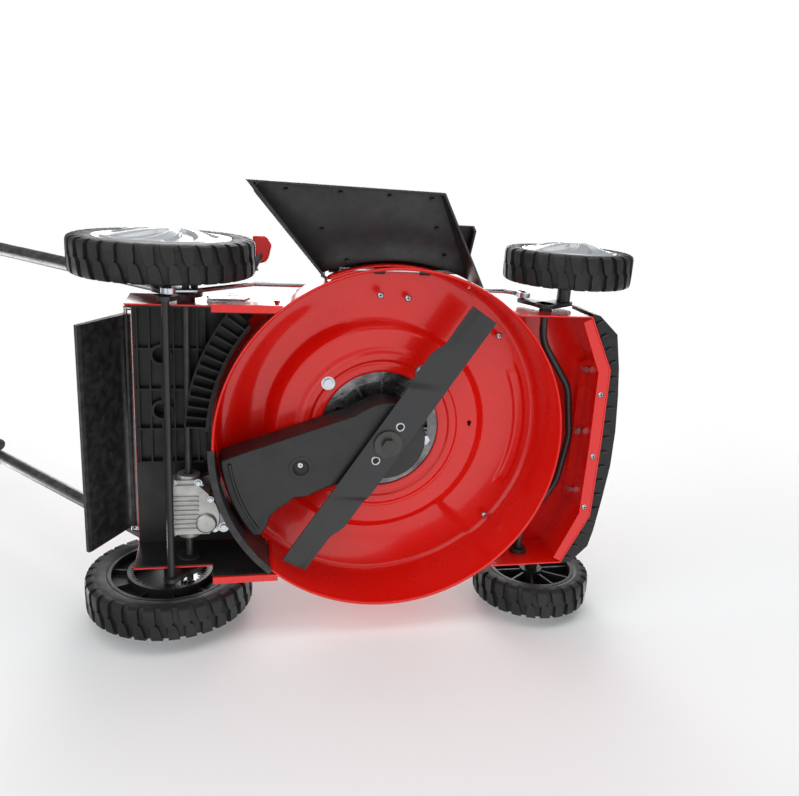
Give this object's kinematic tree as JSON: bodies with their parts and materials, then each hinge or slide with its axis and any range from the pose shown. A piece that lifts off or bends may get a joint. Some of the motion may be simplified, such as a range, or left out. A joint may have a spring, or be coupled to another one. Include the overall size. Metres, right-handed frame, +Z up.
{
  "type": "lawn mower",
  "caption": "Petrol rotary lawn mower with a red pressed steel deck, side chute, single blade, large rear wheels, rear drive and folding handle.",
  "frame": {"origin": "on the ground, on the axis of the crankshaft and blade", "axes": "+X to the front, +Y to the mower's left, +Z up"},
  "size_m": [1.5357, 0.6422, 1.0735],
  "materials": {
    "red_paint": "gloss paint",
    "black_plastic": "fine texture",
    "black_metal": "satin powder coat",
    "zinc": "bright zinc",
    "cast_alloy": "as cast",
    "tyre_rubber": "moulded tread",
    "cap_silver": "silver paint",
    "blade_steel": "dark baked coat",
    "shaft_steel": "oiled",
    "belt_rubber": "fabric faced",
    "red_plastic": "satin",
    "shroud_plastic": "satin",
    "exhaust_steel": "heat dulled",
    "handle_coat": "powder coat"
  },
  "bodies": {
    "deck": {"deck_chamber": "red_paint", "front_apron": "red_paint", "rear_deck": "red_paint", "front_bumper": "black_plastic", "deck_screws": "zinc", "rear_tunnel": "black_plastic", "skirt_insert": "black_plastic", "belt_cover": "black_plastic", "gearbox_housing": "cast_alloy", "hinge_rods": "zinc", "axle_bushes": "black_plastic", "height_quadrant": "zinc", "handle_brackets": "black_metal", "engine_block": "cast_alloy", "engine_shroud": "shroud_plastic", "fuel_tank": "shroud_plastic", "muffler": "exhaust_steel", "air_filter_base": "black_plastic", "carburettor": "cast_alloy", "spark_plug": "zinc", "piston_and_rod": "cast_alloy", "engine_bolts": "zinc", "drive_belt": "belt_rubber", "handle_knobs": "black_plastic"},
    "crank": {"crankshaft": "shaft_steel", "flywheel": "cast_alloy", "blade_adapter": "shaft_steel", "blade": "blade_steel", "blade_bolt": "zinc"},
    "gearbox_input": {"gearbox_pulley": "shaft_steel"},
    "rear_axle": {"rear_axle": "black_metal", "height_lever": "black_metal", "height_knob": "red_plastic"},
    "drive_shaft": {"drive_shaft": "shaft_steel", "drive_pinions": "zinc"},
    "front_axle": {"front_axle": "black_metal"},
    "front_left_wheel": {"front_left_tyre": "tyre_rubber", "front_left_rim": "black_plastic", "front_left_cap": "cap_silver"},
    "front_right_wheel": {"front_right_tyre": "tyre_rubber", "front_right_rim": "black_plastic", "front_right_cap": "cap_silver"},
    "rear_left_wheel": {"rear_left_tyre": "tyre_rubber", "rear_left_rim": "black_plastic", "rear_left_cap": "cap_silver"},
    "rear_right_wheel": {"rear_right_tyre": "tyre_rubber", "rear_right_rim": "black_plastic", "rear_right_cap": "cap_silver"},
    "height_link": {"link_rod": "zinc"},
    "side_flap": {"side_flap": "black_plastic"},
    "side_chute": {"side_chute": "black_plastic"},
    "rear_flap": {"rear_flap": "black_plastic"},
    "lower_handle": {"lower_handle": "handle_coat"},
    "upper_handle": {"upper_handle": "handle_coat"},
    "brake_bail": {"brake_bail": "handle_coat"},
    "drive_bail": {"drive_bail": "handle_coat"},
    "fuel_cap": {"fuel_cap": "black_plastic"},
    "oil_cap": {"oil_cap": "black_plastic"},
    "starter_grip": {"starter_grip": "black_plastic"},
    "air_filter_cover": {"air_filter_cover": "black_plastic"}
  },
  "joints": [
    {"name": "crank_spin", "type": "hinge", "parent": "deck", "child": "crank", "pos_m": [0, 0, 0.1], "axis": [0, 0, 1], "continuous": true},
    {"name": "gearbox_input_spin", "type": "hinge", "parent": "deck", "child": "gearbox_input", "pos_m": [-0.246, 0.086, 0.1], "axis": [0, 0, 1], "continuous": true},
    {"name": "height_adjust", "type": "hinge", "parent": "deck", "child": "rear_axle", "pos_m": [-0.2763, 0, 0.0918], "axis": [0, 1, 0], "range_deg": [-60, 0]},
    {"name": "front_height", "type": "hinge", "parent": "deck", "child": "front_axle", "pos_m": [0.22432, 0, 0.06562], "axis": [0, 1, 0], "range_deg": [0, 52]},
    {"name": "link_pivot", "type": "hinge", "parent": "rear_axle", "child": "height_link", "pos_m": [-0.2963, -0.209, 0.05716], "axis": [0, 1, 0], "range_deg": [0, 60]},
    {"name": "drive_shaft_spin", "type": "hinge", "parent": "rear_axle", "child": "drive_shaft", "pos_m": [-0.2763, 0, 0.0918], "axis": [0, 1, 0], "continuous": true},
    {"name": "rear_left_spin", "type": "hinge", "parent": "rear_axle", "child": "rear_left_wheel", "pos_m": [-0.306, 0.246, 0.1215], "axis": [0, 1, 0], "continuous": true},
    {"name": "rear_right_spin", "type": "hinge", "parent": "rear_axle", "child": "rear_right_wheel", "pos_m": [-0.306, -0.246, 0.1215], "axis": [0, 1, 0], "continuous": true},
    {"name": "front_left_spin", "type": "hinge", "parent": "front_axle", "child": "front_left_wheel", "pos_m": [0.262, 0.254, 0.092], "axis": [0, 1, 0], "continuous": true},
    {"name": "front_right_spin", "type": "hinge", "parent": "front_axle", "child": "front_right_wheel", "pos_m": [0.262, -0.254, 0.092], "axis": [0, 1, 0], "continuous": true},
    {"name": "side_flap_lift", "type": "hinge", "parent": "deck", "child": "side_flap", "pos_m": [0, -0.2365, 0.116], "axis": [1, 0, 0], "range_deg": [-22, 0]},
    {"name": "chute_pull", "type": "slide", "parent": "deck", "child": "side_chute", "axis": [0, -0.9272, -0.3746], "range_m": [0, 0.06]},
    {"name": "rear_flap_lift", "type": "hinge", "parent": "deck", "child": "rear_flap", "pos_m": [-0.36, 0, 0.148], "axis": [0, 1, 0], "range_deg": [0, 70]},
    {"name": "handle_fold", "type": "hinge", "parent": "deck", "child": "lower_handle", "pos_m": [-0.31, 0, 0.152], "axis": [0, 1, 0], "range_deg": [0, 112]},
    {"name": "upper_handle_fold", "type": "hinge", "parent": "lower_handle", "child": "upper_handle", "pos_m": [-0.66996, 0, 0.58098], "axis": [0, -1, 0], "range_deg": [-138, 0]},
    {"name": "brake_bail_squeeze", "type": "hinge", "parent": "upper_handle", "child": "brake_bail", "pos_m": [-1.00069, 0, 0.93654], "axis": [0, -1, 0], "range_deg": [0, 26], "stiffness_Nm_per_rad": 1.5, "springref_deg": -28.65},
    {"name": "drive_bail_squeeze", "type": "hinge", "parent": "upper_handle", "child": "drive_bail", "pos_m": [-1.03298, 0, 0.93553], "axis": [0, 1, 0], "range_deg": [0, 30], "stiffness_Nm_per_rad": 1.5, "springref_deg": -28.65},
    {"name": "fuel_cap_turn", "type": "hinge", "parent": "deck", "child": "fuel_cap", "pos_m": [-0.138, -0.072, 0.27], "axis": [0, 0, 1], "range_deg": [0, 90]},
    {"name": "oil_cap_turn", "type": "hinge", "parent": "deck", "child": "oil_cap", "pos_m": [0.088, -0.093, 0.19], "axis": [0, 0, 1], "range_deg": [0, 90]},
    {"name": "starter_pull", "type": "slide", "parent": "deck", "child": "starter_grip", "axis": [-1, 0, 0], "range_m": [0, 0.45]},
    {"name": "air_filter_open", "type": "hinge", "parent": "deck", "child": "air_filter_cover", "pos_m": [0, 0.12, 0.146], "axis": [-1, 0, 0], "range_deg": [0, 90]}
  ],
  "couplings": [
    {"joint": "gearbox_input_spin", "follows": "crank_spin", "ratio": 1.3043},
    {"joint": "front_height", "follows": "height_adjust", "ratio": -0.86667},
    {"joint": "link_pivot", "follows": "height_adjust", "ratio": -1},
    {"joint": "rear_left_spin", "follows": "drive_shaft_spin", "ratio": 0.22222},
    {"joint": "rear_right_spin", "follows": "drive_shaft_spin", "ratio": 0.22222}
  ]
}
